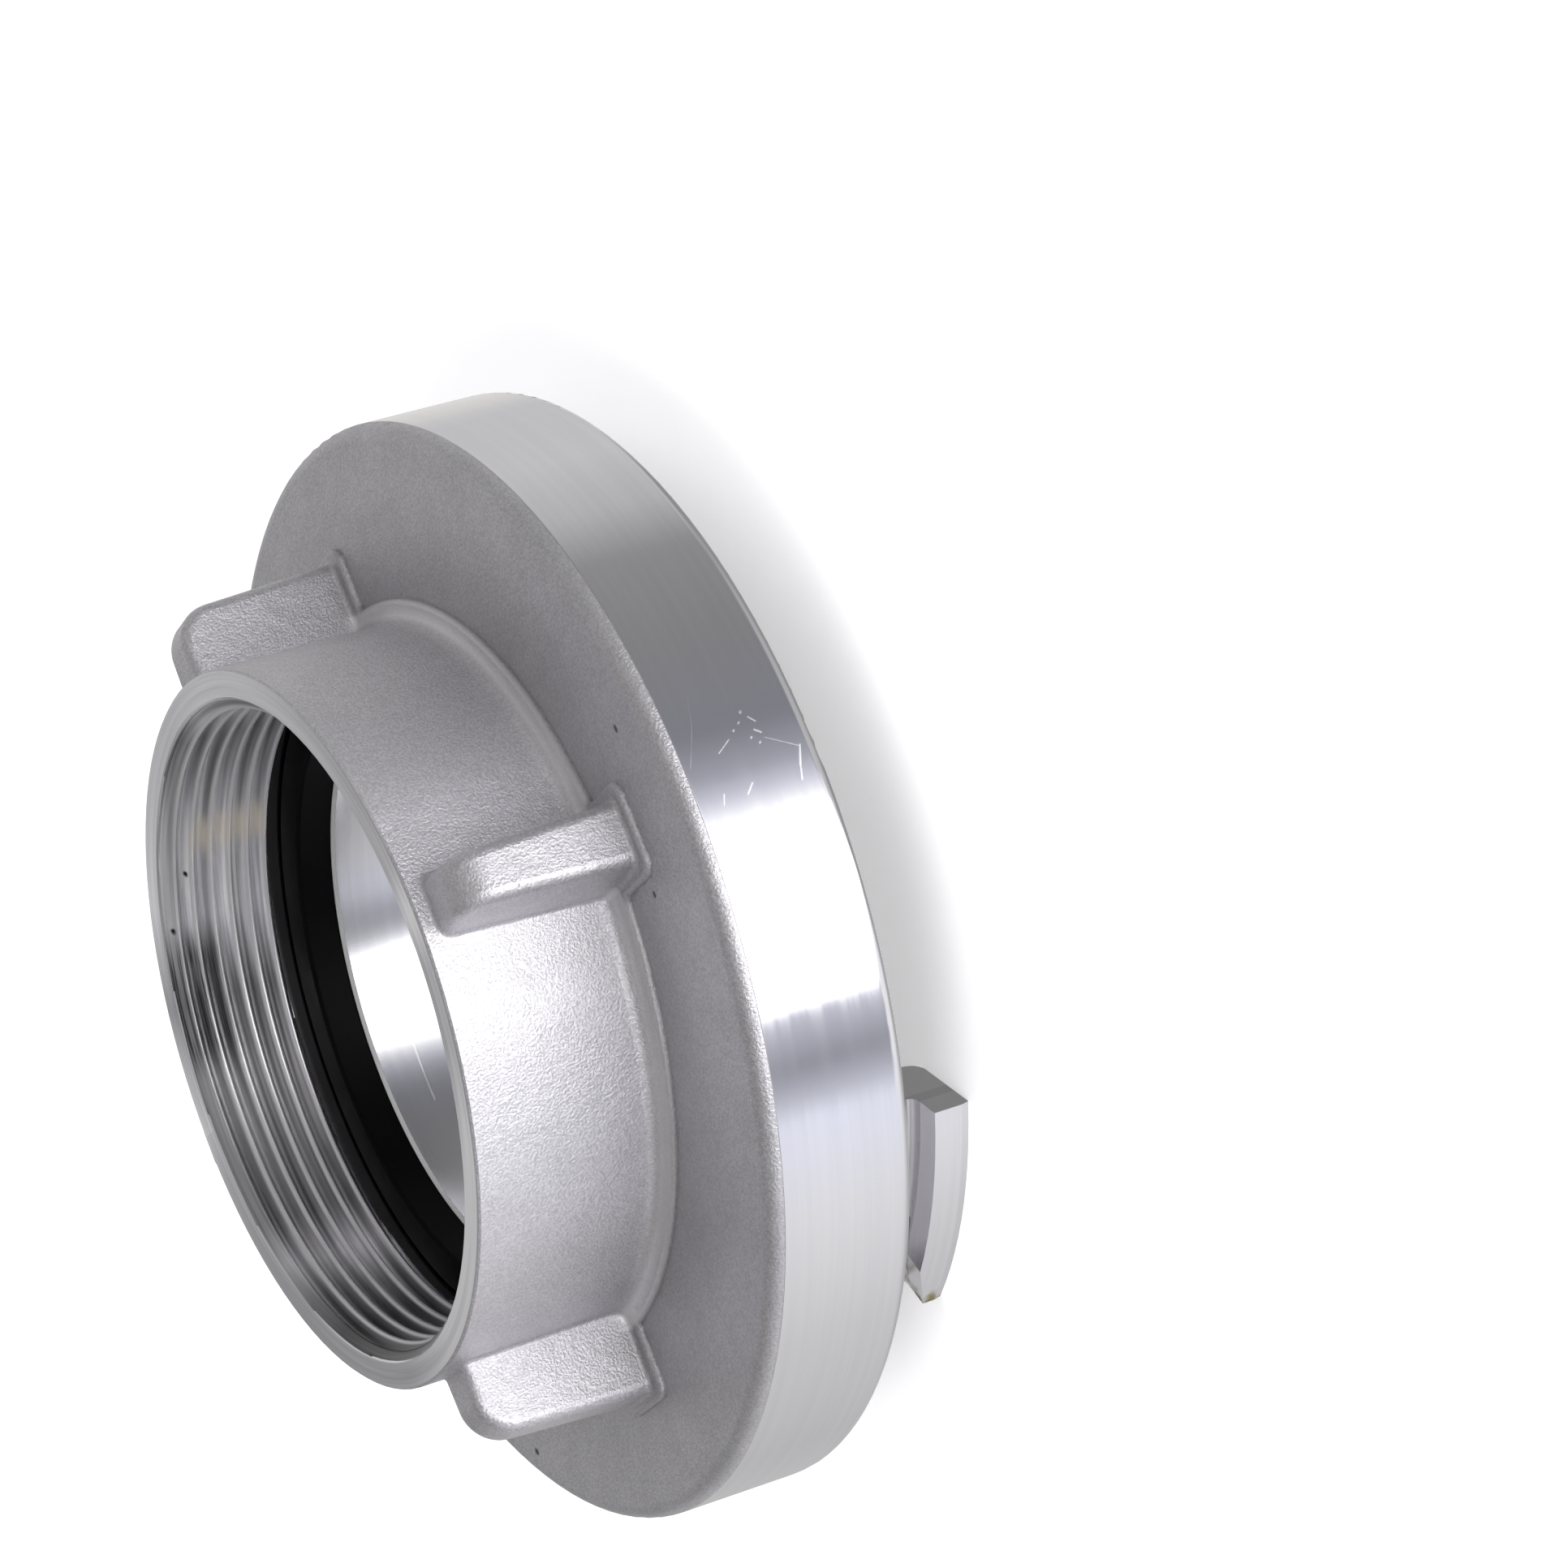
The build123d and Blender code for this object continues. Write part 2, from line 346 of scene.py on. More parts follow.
def both(tree, *masks):
    """The product of these masks: where all of them hold."""
    whole = masks[0]
    for mask in masks[1:]:
        whole = sum_of(tree, "MULTIPLY", whole, mask)
    return whole


def either(tree, *masks):
    """The greatest of these masks: where any of them holds."""
    whole = masks[0]
    for mask in masks[1:]:
        whole = sum_of(tree, "MAXIMUM", whole, mask)
    return whole


print("helpers that make masks are ready")

# %% [markdown]
# ## The floor and the lamps
#
# The floor only has to be pale and to carry a soft shadow. Its own paint is nearly white, and it glows a
# little for the camera alone, so the picture gets a white ground while no extra light reaches the metal.
# Bright metal is mostly a picture of the room around it, so the floor and the lamps are hidden from
# reflections, and the room that the metal shows is painted on the world in the next step.

# %% Lay the floor
floor_size = 6.0
floor_glow = 0.4

clear_selection()
bpy.ops.mesh.primitive_plane_add(size=floor_size)
floor = bpy.context.object
floor.name = "floor"
floor.visible_glossy = False

floor_paint, tree, shader = new_material("pale_floor")
shader.inputs["Base Color"].default_value = (0.9, 0.9, 0.9, 1)
shader.inputs["Roughness"].default_value = 0.9
shader.inputs["Specular IOR Level"].default_value = 0.1
shader.inputs["Emission Color"].default_value = (1, 1, 1, 1)
for_camera = put_node(tree, "LightPath").outputs["Is Camera Ray"]
feed(tree, shader.inputs["Emission Strength"], sum_of(tree, "MULTIPLY", for_camera, floor_glow))
floor.data.materials.append(floor_paint)
print("floor", floor.name, "glow for the camera", floor_glow)


# %% Hang two soft lamps
def soft_lamp(name, place, size, power):
    """A square lamp that looks at the middle of the coupling and shows in no reflection."""
    lamp_data = bpy.data.lights.new(name, "AREA")
    lamp_data.size = size
    lamp_data.energy = power
    lamp = bpy.data.objects.new(name, lamp_data)
    bpy.context.scene.collection.objects.link(lamp)
    aim = Vector((0, 0, mouth_z / 2)) - Vector(place)
    lamp.rotation_mode = "QUATERNION"
    lamp.rotation_quaternion = aim.to_track_quat("-Z", "Y")
    lamp.location = place
    lamp.visible_glossy = False
    return lamp


key_lamp = soft_lamp("key_lamp", place=(0.5, -0.6, 0.9), size=0.6, power=5.0)
fill_lamp = soft_lamp("fill_lamp", place=(0.2, 0.9, 0.7), size=0.8, power=3.0)
print("lamps", key_lamp.name, fill_lamp.name)

# %% [markdown]
# ## The room that the metal reflects
#
# A turned rim is a mirror that is curved one way, so it shows a strip of the room from one end to the
# other: grey walls, one large white panel with straight edges, and dark gaps beside it. Each of these
# could be a sheet of its own, but the room is simpler as colour ramps around the compass: the direction
# of a reflected ray gives its angle, and a ramp gives the brightness there.
#
# There are four ramps, one above the other. The walls are what the rim and the bore show. The ground lies
# below them, the ceiling is what the flat faces show, and the last ramp is the part straight above.

# %% Measure the direction of a ray
world = bpy.data.worlds.new("studio")
bpy.context.scene.world = world
world.use_nodes = True
world.cycles.sampling_method = "NONE"
room = world.node_tree
room.nodes.clear()


def share_between(tree, value, low, high):
    """How far a value has come from low to high, from 0 to 1."""
    node = put_node(tree, "MapRange")
    for socket, setting in zip(node.inputs, (value, low, high, 0.0, 1.0)):
        feed(tree, socket, setting)
    return node.outputs[0]


ray_parts = put_node(room, "SeparateXYZ")
feed(room, ray_parts.inputs[0], put_node(room, "TexCoord").outputs["Generated"])
compass = sum_of(room, "ARCTAN2", ray_parts.outputs["Y"], ray_parts.outputs["X"])
compass_share = share_between(room, compass, -math.pi, math.pi)
print("nodes that measure a ray", len(room.nodes))

# %% Choose the paint of the room: compass angle, brightness and, on some walls, a tint
plain = (1.0, 1.0, 1.0)
cold = (0.95, 0.97, 1.08)
warm = (1.02, 1.0, 0.97)
panel = 4.6
ground_paint = [
    (-180, 0.4), (-140, 0.5), (-100, 0.7), (-70, 0.9), (-38, 0.9), (-31, 2.0), (0, 2.0), (10, 0.6),
    (28, 0.5), (60, 0.45), (100, 0.3), (150, 0.3), (180, 0.4),
]
wall_paint = [
    (-180, 0.52), (-150, 0.52), (-110, 0.64), (-80, 0.81), (-58, 0.92, cold), (-53, 0.55, cold),
    (-47, 0.32, cold), (-40, 0.5, cold), (-36.5, 0.6, cold), (-31, panel), (-1, panel), (2.5, 1.3),
    (8, 0.7, cold), (13, 0.4, cold), (22, 0.24, cold), (45, 0.25), (66, 0.29), (80, 0.5), (100, 0.6),
    (130, 0.58), (142, 0.68, warm), (156, 0.74, warm), (168, 0.48), (180, 0.52),
]
ceiling_paint = [
    (-180, 0.3), (-150, 0.3), (-110, 0.4), (-60, 0.45), (20, 0.45), (60, 0.35), (110, 0.35), (125, 0.56),
    (155, 0.6), (168, 0.5), (180, 0.3),
]
zenith_paint = [
    (-180, 0.42), (-150, 0.3), (-127, 0.12), (-90, 0.3), (-20, 0.42), (90, 0.42), (118, 0.15), (145, 0.42),
    (180, 0.42),
]
print("stops on the walls", len(wall_paint), "on the ceiling", len(ceiling_paint))


# %% Paint the ramps and blend each over the one below
def painted(paint):
    """The colour of one ramp of the room in the direction of the ray."""
    stops = []
    for angle, level, *tint in paint:
        stops.append((angle, [level * channel for channel in (tint[0] if tint else plain)]))
    return colours_around(room, compass_share, stops)


def painted_over(below, above, low, high):
    """One colour that gives way to another while the ray rises from low to high, in degrees."""
    low_rise, high_rise = (math.sin(math.radians(rise)) for rise in (low, high))
    return blend_colour(room, soft_step(room, ray_parts.outputs["Z"], low_rise, high_rise), below, above)


wall_begins, ceiling_begins, zenith_begins = (-45, -34), (4, 18), (38, 52)
reflected = painted_over(painted(ground_paint), painted(wall_paint), *wall_begins)
reflected = painted_over(reflected, painted(ceiling_paint), *ceiling_begins)
reflected = painted_over(reflected, painted(zenith_paint), *zenith_begins)
print("nodes of the room", len(room.nodes))


# %% Show that room to reflections, plain light to dull surfaces and white to the camera
def room_light(colour, strength):
    """A background of this colour, which is a socket or four numbers."""
    node = put_node(room, "Background")
    feed(room, node.inputs["Color"], colour)
    node.inputs["Strength"].default_value = strength
    return node.outputs[0]


ray_kinds = put_node(room, "LightPath").outputs


def choose(ray_kind, otherwise, chosen):
    """One background for this kind of ray and the other for the rest."""
    mix = put_node(room, "MixShader")
    for socket, value in zip(mix.inputs, (ray_kinds[ray_kind], otherwise, chosen)):
        feed(room, socket, value)
    return mix.outputs[0]


dull_strength = 0.62
dull_light = room_light((0.92, 0.92, 0.95, 1), dull_strength)
shine = room_light(reflected, 1.0)
backdrop_white = room_light((1, 1, 1, 1), 1.0)
seen = choose("Is Camera Ray", choose("Is Glossy Ray", dull_light, shine), backdrop_white)
feed(room, put_node(room, "OutputWorld").inputs[0], seen)
print("room", world.name, "nodes", len(room.nodes))

# %% [markdown]
# ## Where a point lies on the lathe
#
# Each finish depends on where a point lies on the coupling: how far it is from the axis, how high it is
# and where it is around the axis. Every material asks for these, so they come from one node group. A
# group is built once, and a change in it reaches every material that uses it.

# %% Make a node group and place it
def new_group(name, inputs, outputs):
    """A node group with these sockets, and the nodes that stand for them inside."""
    group = bpy.data.node_groups.new(name, "ShaderNodeTree")
    for socket_name, kind, level in inputs:
        socket = group.interface.new_socket(socket_name, in_out="INPUT", socket_type="NodeSocket" + kind)
        if kind == "Float":
            socket.default_value = level
    for socket_name, kind in outputs:
        group.interface.new_socket(socket_name, in_out="OUTPUT", socket_type="NodeSocket" + kind)
    return group, group.nodes.new("NodeGroupInput").outputs, group.nodes.new("NodeGroupOutput").inputs


def use_group(tree, group, **values):
    """This group placed in a tree and fed by these values, with _ for the space in a socket's name."""
    node = tree.nodes.new("ShaderNodeGroup")
    node.node_tree = group
    for name, value in values.items():
        feed(tree, node.inputs[name.replace("_", " ")], value)
    return node.outputs


def spot_in_mm(tree):
    """The place of a point on the piece, in millimetres."""
    return vector_sum(tree, "SCALE", put_node(tree, "TexCoord").outputs["Object"], 1 / mm)


print("helpers that make and place groups are ready")

# %% Distance from the axis, height and direction, in millimetres
lathe_place, given, gives = new_group(
    "lathe_place", [], [("Radius", "Float"), ("Height", "Float"), ("Angle", "Float"), ("Around", "Vector")]
)
spot_parts = put_node(lathe_place, "SeparateXYZ")
feed(lathe_place, spot_parts.inputs[0], spot_in_mm(lathe_place))
flat = put_node(lathe_place, "CombineXYZ")
for axis in "XY":
    feed(lathe_place, flat.inputs[axis], spot_parts.outputs[axis])
turn = sum_of(lathe_place, "ARCTAN2", spot_parts.outputs["Y"], spot_parts.outputs["X"])
feed(lathe_place, gives["Radius"], vector_sum(lathe_place, "LENGTH", flat.outputs[0], output="Value"))
feed(lathe_place, gives["Height"], spot_parts.outputs["Z"])
feed(lathe_place, gives["Angle"], sum_of(lathe_place, "DEGREES", turn))
feed(lathe_place, gives["Around"], vector_sum(lathe_place, "NORMALIZE", flat.outputs[0]))
print("group", lathe_place.name, [socket.name for socket in gives if socket.name])

# %% [markdown]
# ## Lines that the lathe tool leaves
#
# A lathe tool leaves fine lines that run around the work. A ring of sine waves would look drawn, because
# real lines differ in depth and break off. Here they are noise that is stretched: it changes fast with
# the radius and the height, and slowly around the axis. The fine noise is the grooves, and a coarser one
# changes their tone.

# %% Tool lines as a node group
tool_lines, given, gives = new_group(
    "tool_lines",
    [("Radius", "Float", 0), ("Height", "Float", 0), ("Around", "Vector", None),
     ("Lines", "Float", 4.0), ("Streak", "Float", 3.0)],
    [("Groove", "Float"), ("Tone", "Float")],
)
lifted = put_node(tool_lines, "CombineXYZ")
feed(tool_lines, lifted.inputs["Z"], sum_of(tool_lines, "MULTIPLY", given["Height"], given["Lines"]))
stretched = vector_sum(tool_lines, "SCALE", given["Around"], given["Streak"])
placed = vector_sum(tool_lines, "ADD", stretched, lifted.outputs[0])
across = sum_of(tool_lines, "MULTIPLY", given["Radius"], given["Lines"])
for output_name, scale, detail in (("Groove", 1.0, 2.0), ("Tone", 0.23, 3.0)):
    noise = put_node(tool_lines, "TexNoise", noise_dimensions="4D")
    settings = {"Vector": placed, "W": across, "Scale": scale, "Detail": detail}
    for socket_name, setting in settings.items():
        feed(tool_lines, noise.inputs[socket_name], setting)
    feed(tool_lines, gives[output_name], noise.outputs["Fac"])
print("group", tool_lines.name, "nodes", len(tool_lines.nodes))

# %% [markdown]
# ## The blasted skin
#
# The casting was blasted with grit, which leaves a fine even grain over slow waves that the mould left.
# The tone of the skin is mottled, and here and there a gas bubble left a small pit. Grain, waves and
# mottling are the same noise in three sizes, so one number, the size of the grain, sets all of them. The
# pits are the cells of a Voronoi texture, of which only one in forty is kept.

# %% Grain, waves, mottling and pits as a node group
wave_size = 7.0
mottle_size = 24.0
pits_left_out = 0.975
blasted_skin, given, gives = new_group(
    "blasted_skin", [("Grain", "Float", 0.4), ("Pit Spacing", "Float", 3.0), ("Pit Size", "Float", 0.12)],
    [("Relief", "Float"), ("Waves", "Float"), ("Mottle", "Float"), ("Pits", "Float")],
)
spot = spot_in_mm(blasted_skin)
for output_name, grains, detail, roughness in (
    ("Relief", 1.0, 2.0, 0.6), ("Waves", wave_size, 3.0, 0.55), ("Mottle", mottle_size, 4.0, 0.65),
):
    size = sum_of(blasted_skin, "MULTIPLY", given["Grain"], grains)
    noise = put_node(blasted_skin, "TexNoise")
    settings = {
        "Vector": spot, "Scale": sum_of(blasted_skin, "DIVIDE", 1.0, size), "Detail": detail,
        "Roughness": roughness,
    }
    for socket_name, setting in settings.items():
        feed(blasted_skin, noise.inputs[socket_name], setting)
    feed(blasted_skin, gives[output_name], noise.outputs["Fac"])

bubbles = put_node(blasted_skin, "TexVoronoi")
feed(blasted_skin, bubbles.inputs["Vector"], spot)
feed(blasted_skin, bubbles.inputs["Scale"], sum_of(blasted_skin, "DIVIDE", 1.0, given["Pit Spacing"]))
bubble_parts = put_node(blasted_skin, "SeparateColor")
feed(blasted_skin, bubble_parts.inputs[0], bubbles.outputs["Color"])
own_size = sum_of(blasted_skin, "MULTIPLY", given["Pit Size"], bubble_parts.outputs[0])
own_size = sum_of(blasted_skin, "DIVIDE", own_size, given["Pit Spacing"])
depth = sum_of(blasted_skin, "SUBTRACT", own_size, bubbles.outputs["Distance"])
depth = sum_of(blasted_skin, "DIVIDE", depth, own_size)
kept = sum_of(blasted_skin, "GREATER_THAN", bubble_parts.outputs[1], pits_left_out)
feed(blasted_skin, gives["Pits"], both(blasted_skin, soft_step(blasted_skin, depth, 0.0, 0.7), kept))
print("group", blasted_skin.name, "nodes", len(blasted_skin.nodes))

# %% [markdown]
# ## Scratches, dots and pits at their own places
#
# Use leaves marks at places that noise can't hit. A mark could be a small curve in the surface, but most
# are only a change of colour. So a mark is a straight line from one place to another, and its mask comes
# from the distance to that line: 1 near it, 0 beyond half its width. A dot is a very short line. On a
# round wall both ends are given by their angle in degrees and their height in millimetres.

# %% A mark as a node group, and a mask from a list of marks
scratch, given, gives = new_group(
    "scratch", [("Start", "Vector", None), ("End", "Vector", None), ("Width", "Float", 0.2)],
    [("Mask", "Float")],
)
from_start = vector_sum(scratch, "SUBTRACT", spot_in_mm(scratch), given["Start"])
whole = vector_sum(scratch, "SUBTRACT", given["End"], given["Start"])
along = sum_of(scratch, "DIVIDE", vector_sum(scratch, "DOT_PRODUCT", from_start, whole, "Value"),
               vector_sum(scratch, "DOT_PRODUCT", whole, whole, "Value"))
along = sum_of(scratch, "MINIMUM", sum_of(scratch, "MAXIMUM", along, 0.0), 1.0)
aside = vector_sum(scratch, "DISTANCE", from_start, vector_sum(scratch, "SCALE", whole, along), "Value")
share = sum_of(scratch, "DIVIDE", aside, given["Width"])
feed(scratch, gives["Mask"], soft_step(scratch, share, 0.2, 0.48, 1.0, 0.0))


def on_lathe(radius, angle, height):
    """The place at this radius, this angle in degrees and this height."""
    turn = math.radians(angle)
    return (radius * math.cos(turn), radius * math.sin(turn), height)


def marks_on(tree, radius, marks):
    """The mask of several marks on a round wall: angle and height of both ends, width and strength."""
    masks = []
    for start, end, width, strength in marks:
        ends = {"Start": on_lathe(radius, *start), "End": on_lathe(radius, *end)}
        mark = use_group(tree, scratch, Width=width, **ends)["Mask"]
        masks.append(sum_of(tree, "MULTIPLY", mark, strength))
    return either(tree, *masks)


def tone_around(tree, angle, stops):
    """A number that changes around the axis, from pairs of an angle in degrees and a level."""
    share = share_between(tree, angle, -180.0, 180.0)
    return colours_around(tree, share, [(stop, (level, level, level)) for stop, level in stops])


print("group", scratch.name, "nodes", len(scratch.nodes))

# %% [markdown]
# ## The aluminium of the coupling
#
# The body is one solid with two finishes. Outside, the socket, the lugs and the back of the ring keep
# their blasted casting skin, and so does the groove that the claws turn in. The rim, both faces, the
# claws and everything inside the bore are turned bright. The solid could be cut into zones with a
# material each, but one material can carry both: a lathe cuts to exact radii and heights, so a mask from
# the radius and the height has the same borders.

# %% Where the metal was cast, and where it was turned
mouth_mm, back_mm, face_mm = mouth_z / mm, back_z / mm, face_z / mm
socket_mm, bore_mm, ring_mm = socket_radius / mm, waterway_radius / mm, ring_radius / mm
cast_low, cast_high = back_mm - 1.75, mouth_mm - 0.06
cast_inner = 39.0
groove_low, groove_high = face_mm + 0.15, back_mm - 1.0
groove_inner, groove_outer = 43.85, 57.2

aluminium, tree, shader = new_material("cast_and_turned_aluminium")
place = use_group(tree, lathe_place)
radius, height, angle = place["Radius"], place["Height"], place["Angle"]
skin = use_group(tree, blasted_skin, Grain=0.3, Pit_Spacing=4.5, Pit_Size=0.4)
lines = use_group(
    tree, tool_lines, Radius=radius, Height=height, Around=place["Around"], Lines=5.0, Streak=4.0
)
outside = both(tree, between(tree, height, cast_low, cast_high, 0.12),
               soft_step(tree, radius, cast_inner - 0.2, cast_inner + 0.2))
in_groove = both(tree, between(tree, height, groove_low, groove_high, 0.1),
                 between(tree, radius, groove_inner, groove_outer, 0.1))
cast = either(tree, outside, in_groove)
print("cast skin from height", cast_low, "to", cast_high)

# %% [markdown]
# ### Colour of the cast skin
#
# The socket's colour is scaled lighter and darker around the axis, which is painted light and shade.
# Painted shade darkens the foot of the socket and the pad that carries the lugs, and a painted highlight
# makes the fillet above the pad pale. Noise would put these anywhere, so each gets a mask of its own
# from the radius, the height or the angle.

# %% Mottle, speckle, painted shade on the back of the ring and painted light and shade around the socket
cast_light = (0.715, 0.7, 0.73, 1)
cast_dark = (0.68, 0.665, 0.695, 1)
# Painted shade: the back of the ring is a little darker than the socket.
back_shade_level = 0.94
# Painted light and shade: the socket is made lighter or darker at each angle around the axis.
socket_light_and_shade = [
    (-180, 1.0), (-84, 0.86), (-76, 0.94), (-69, 1.06), (-60, 1.15), (-52, 1.25), (-42, 1.25), (-34, 1.18),
    (-28, 1.08), (-22, 1.0), (9, 1.0), (15, 1.3), (21, 1.24), (28, 1.13), (38, 1.04), (60, 1.0), (180, 1.0),
]
mottle = soft_step(tree, skin["Mottle"], 0.35, 0.65)
speckle = soft_step(tree, skin["Relief"], 0.3, 0.7, 0.86, 1.1)
back_painted_shade = soft_step(tree, height, back_mm + 0.9, back_mm + 1.6, back_shade_level, 1.0)
cast_colour = blend_colour(tree, mottle, cast_dark, cast_light)
cast_colour = vector_sum(tree, "SCALE", cast_colour, sum_of(tree, "MULTIPLY", speckle, back_painted_shade))
on_socket = both(tree, soft_step(tree, radius, socket_mm + 0.1, socket_mm + 0.7, 1.0, 0.0),
                 soft_step(tree, height, back_mm + 0.5, back_mm + 2.0))
painted_lit_socket_colour = vector_sum(tree, "SCALE", cast_colour, tone_around(tree, angle, socket_light_and_shade))
cast_colour = blend_colour(tree, on_socket, cast_colour, painted_lit_socket_colour)
print("stops around the socket", len(socket_light_and_shade))

# %% Painted shade at the foot of the socket and along the pad, a painted highlight on the fillet, and the pits
# Dark colour for the painted shade at the foot and the pad, and for the darker neck of the claws.
painted_shade_and_neck_colour = (0.25, 0.245, 0.24, 1)
fillet_highlight_colour = (1.0, 0.98, 1.0, 1)
pit_colour = (0.06, 0.055, 0.05, 1)
foot_shade = 0.28
pad_shade = 0.2
fillet_highlight_share = 0.6
# Painted shade: the back of the ring darkens towards the foot of the socket.
painted_foot_shade = both(tree, soft_step(tree, radius, socket_mm + 4.1, socket_mm + 17.1, foot_shade, 0.0),
               soft_step(tree, height, back_mm + 1.0, back_mm + 3.0, 1.0, 0.0))
# Painted shade: a darker ring along the edge of the pad that carries the lugs.
painted_pad_shade = both(tree, between(tree, radius, socket_mm + 1.8, socket_mm + 2.8, 0.5),
              between(tree, height, back_mm - 0.1, back_mm + 0.7, 0.3), pad_shade)
# Painted highlight: the fillet between the socket and the pad is paler.
painted_fillet_highlight = both(tree, between(tree, radius, socket_mm + 0.5, socket_mm + 2.4, 0.8),
                 soft_step(tree, height, back_mm + 1.0, back_mm + 2.8, fillet_highlight_share, 0.0))
cast_colour = blend_colour(tree, painted_foot_shade, cast_colour, painted_shade_and_neck_colour)
cast_colour = blend_colour(tree, painted_pad_shade, cast_colour, painted_shade_and_neck_colour)
cast_colour = blend_colour(tree, painted_fillet_highlight, cast_colour, fillet_highlight_colour)
cast_colour = blend_colour(tree, skin["Pits"], cast_colour, pit_colour)
print("nodes so far", len(tree.nodes))

# %% [markdown]
# ### Colour of the turned metal
#
# Turned aluminium is nearly white where it mirrors light, with a faint tone from line to line. On the
# face of the mouth the lines run around a narrow ring, which spreads the light into bright and dark
# streaks, like those on a record. A mirror with grooves that fine is slow to render, so the streaks are
# painted, with a tone that changes around the axis.

# %% Tone of the lines, painted streaks on the mouth and painted shade in the bore
turned_light = (0.875, 0.865, 0.9, 1)
turned_dark = (0.845, 0.835, 0.87, 1)
bore_shade = 0.76
mouth_sheen = [
    (-180, 1.0), (-172, 0.8), (-160, 0.68), (-140, 0.6), (-120, 0.65), (-100, 0.66), (-80, 1.05),
    (-60, 1.14), (-40, 1.18), (-20, 0.75), (-8, 0.75), (0, 1.15), (8, 0.75), (20, 0.68), (40, 0.74),
    (60, 0.84), (80, 0.88), (100, 0.8), (120, 0.9), (140, 1.08), (158, 0.52), (170, 0.95), (180, 1.15),
]
line_tone = soft_step(tree, lines["Tone"], 0.35, 0.65)
turned_colour = blend_colour(tree, line_tone, turned_dark, turned_light)
on_mouth = soft_step(tree, height, mouth_mm - 0.06, mouth_mm - 0.02)
sheen = sum_of(tree, "MULTIPLY", tone_around(tree, angle, mouth_sheen),
               soft_step(tree, lines["Tone"], 0.3, 0.7, 0.9, 1.1))
mouth_colour = vector_sum(tree, "SCALE", turned_colour, sheen)
turned_colour = blend_colour(tree, on_mouth, turned_colour, mouth_colour)
in_bore = soft_step(tree, radius, bore_mm + 0.6, bore_mm + 1.0, 1.0, 0.0)
# Painted shade: the bore is darker, for the shade inside it.
shaded_bore_colour = vector_sum(tree, "SCALE", turned_colour, bore_shade)
turned_colour = blend_colour(tree, in_bore, turned_colour, shaded_bore_colour)
metal_colour = blend_colour(tree, cast, turned_colour, cast_colour)
print("stops around the mouth", len(mouth_sheen))

# %% [markdown]
# ### Claws, seat and stains
#
# Each claw ends in a rough dark face. The two claws stand half a turn apart, so the angle from an end
# face is folded back every half turn with the Ping-Pong operation, and one mask serves both. The neck of
# the claws is darker, the edge of the gasket's seat gets a painted highlight, and the front claw has a
# brown stain on its tip.

# %% End faces, neck and seat
claw_end = -41.6
quarter_turn = 90.0
neck_inner, neck_outer = 50.6, 52.2
end_colour = (0.4, 0.395, 0.4, 1)
seat_highlight_colour = (1.0, 1.0, 1.0, 1)
neck_darkening = 0.35
from_end = sum_of(tree, "PINGPONG", sum_of(tree, "SUBTRACT", angle, claw_end), quarter_turn)
below_face = soft_step(tree, height, face_mm - 0.3, face_mm - 0.1, 1.0, 0.0)
end_face = both(tree, soft_step(tree, from_end, 0.02, 0.1, 1.0, 0.0), below_face)
# The neck of the claws is darker.
darker_neck = both(tree, between(tree, radius, neck_inner, neck_outer, 0.3),
               soft_step(tree, height, face_mm - 0.2, face_mm + 0.1, neck_darkening, 0.0))
# Painted highlight: the edge of the gasket's seat is painted white.
painted_seat_highlight = both(tree, between(tree, radius, bore_mm + 0.02, bore_mm + 0.5, 0.06),
                 soft_step(tree, height, back_mm + 2.0, back_mm + 2.1))
metal_colour = blend_colour(tree, end_face, metal_colour, end_colour)
metal_colour = blend_colour(tree, darker_neck, metal_colour, painted_shade_and_neck_colour)
metal_colour = blend_colour(tree, painted_seat_highlight, metal_colour, seat_highlight_colour)
print("claws end at", claw_end, "and", claw_end + 2 * quarter_turn)

# %% Pits in the back of the ring and the middle lug, and the stain on the claw
stain_colour = (0.34, 0.29, 0.14, 1)
lug_radius = 49.6
ring_pits = [
    (56.0, ((9.7, 29.0), (9.9, 29.0), 1.0, 0.825)), (59.4, ((-127.3, 29.0), (-127.1, 29.0), 1.1, 0.88)),
]
lug_marks = [
    ((-8.4, 29.0), (-8.2, 29.0), 0.9, 0.825), ((-2.6, 43.1), (-3.6, 43.5), 0.35, 0.605),
    ((2.3, 49.2), (3.7, 45.5), 0.7, 0.385),
]
claw_stains = [
    (54.5, ((-71.3, 1.5), (-71.6, 3.0), 5.5, 0.99)), (51.5, ((-71.6, 2.5), (-72.2, 4.2), 4.0, 0.99)),
]
pits = either(tree, *(marks_on(tree, pit_radius, [mark]) for pit_radius, mark in ring_pits),
              marks_on(tree, lug_radius, lug_marks))
stain = either(tree, *(marks_on(tree, stain_radius, [mark]) for stain_radius, mark in claw_stains))
stain = both(tree, stain, below_face, soft_step(tree, skin["Waves"], 0.35, 0.6))
metal_colour = blend_colour(tree, pits, metal_colour, pit_colour)
metal_colour = blend_colour(tree, stain, metal_colour, stain_colour)
print("pits and marks", len(ring_pits) + len(lug_marks), "stains", len(claw_stains))

